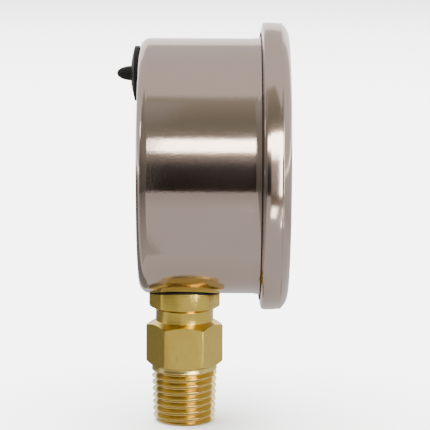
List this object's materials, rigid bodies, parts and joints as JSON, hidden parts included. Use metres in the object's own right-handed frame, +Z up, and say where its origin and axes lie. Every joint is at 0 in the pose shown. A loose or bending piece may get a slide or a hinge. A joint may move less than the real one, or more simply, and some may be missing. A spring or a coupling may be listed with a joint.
{
  "type": "pressure gauge",
  "caption": "Round stainless-case Bourdon tube pressure gauge with crimped bezel, dial and pointer, and a brass bottom stem with hexagon and taper thread.",
  "frame": {"origin": "centre of the stem's end face, on the axis of its thread", "axes": "+Z runs up the stem into the case, the dial looks along -Y, +X is to the right of someone reading the dial"},
  "size_m": [0.0594, 0.0353, 0.0838],
  "materials": {
    "stainless": "polished",
    "brass": "turned, plain",
    "bronze": "drawn phosphor bronze",
    "black_rubber": "moulded, matt",
    "clear_polycarbonate": "clear plastic",
    "white_dial": "matt white paint on aluminium",
    "black_paint": "matt black paint on aluminium",
    "plated_steel": "plated"
  },
  "bodies": {
    "case": {"case_shell": "stainless", "bezel_ring": "stainless", "window": "clear_polycarbonate", "window_gasket": "black_rubber", "stem_socket": "brass", "stem_seal": "black_rubber", "stem_retaining_clip": "plated_steel", "inlet_restrictor": "brass", "bourdon_tube": "bronze", "movement_rear_plate": "brass", "movement_front_plate": "brass", "movement_pillar_1": "brass", "movement_pillar_2": "brass", "movement_pillar_3": "brass", "plate_screw_1": "plated_steel", "plate_screw_2": "plated_steel", "plate_screw_3": "plated_steel", "movement_screw_left": "plated_steel", "movement_screw_right": "plated_steel", "dial_plate": "white_dial", "dial_post_left": "brass", "dial_post_right": "brass", "dial_screw_left": "plated_steel", "dial_screw_right": "plated_steel", "pointer_stop_pin": "plated_steel", "hairspring": "bronze", "hairspring_stud": "brass"},
    "pointer": {"pinion_arbor": "plated_steel", "hairspring_collet": "brass", "pointer_hub": "brass", "pointer_blade": "black_paint"},
    "sector": {"sector_gear": "brass", "sector_arbor": "plated_steel", "sector_tail_pin": "plated_steel"},
    "tip": {"tube_tip": "bronze", "tip_pin": "plated_steel"},
    "link": {"link_bar": "brass"},
    "plug": {"vent_plug": "black_rubber"}
  },
  "joints": [
    {"name": "sector_pivot", "type": "hinge", "parent": "case", "child": "sector", "pos_m": [0.00679, 0, 0.04511], "axis": [0, 1, 0], "range_deg": [-33.75, 0], "stiffness_Nm_per_rad": 0.04},
    {"name": "pointer_axis", "type": "hinge", "parent": "case", "child": "pointer", "pos_m": [0, 0, 0.05408], "axis": [0, 1, 0], "range_deg": [0, 270]},
    {"name": "tube_tip_swing", "type": "hinge", "parent": "case", "child": "tip", "pos_m": [-0.00238, 0, 0.05902], "axis": [0, 1, 0], "range_deg": [-5.74, 0], "deforming": ["bourdon_tube"]},
    {"name": "link_pivot", "type": "hinge", "parent": "tip", "child": "link", "pos_m": [0.01234, 0, 0.04736], "axis": [0, 1, 0], "range_deg": [0, 4.98]},
    {"name": "vent_plug_pull", "type": "slide", "parent": "case", "child": "plug", "axis": [0, 1, 0], "range_m": [0, 0.008]}
  ],
  "couplings": [
    {"joint": "pointer_axis", "follows": "sector_pivot", "ratio": -8},
    {"joint": "tube_tip_swing", "follows": "sector_pivot", "ratio": 0.17007},
    {"joint": "link_pivot", "follows": "sector_pivot", "ratio": -0.1475}
  ]
}
